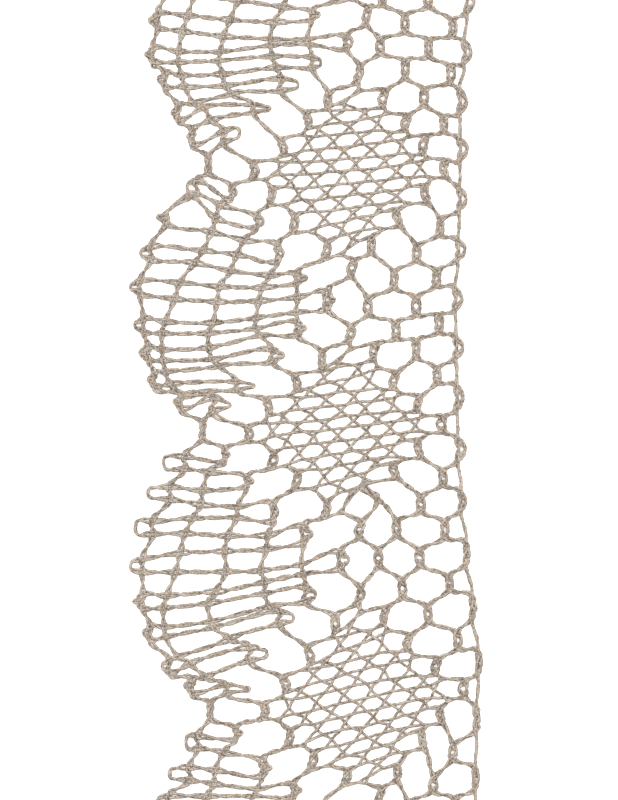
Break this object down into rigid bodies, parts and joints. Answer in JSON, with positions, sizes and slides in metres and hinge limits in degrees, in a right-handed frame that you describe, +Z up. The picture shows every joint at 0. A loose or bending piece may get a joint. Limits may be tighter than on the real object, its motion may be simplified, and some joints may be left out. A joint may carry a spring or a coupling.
{
  "type": "lace edging",
  "caption": "Flat lace edging strip with one straight edge for sewing on, an open ground of pinned cells, and a scalloped edge of fans and picots.",
  "frame": {"origin": "middle of the underside's bounding rectangle", "axes": "+X across the lace towards the straight footside, -X towards the scallops, +Y along its length, +Z up out of the surface it lies on"},
  "size_m": [0.0642, 0.156, 0.001],
  "materials": {
    "linen": "matt unbleached linen thread"
  },
  "bodies": {
    "root": {"lace": "linen"}
  },
  "joints": []
}
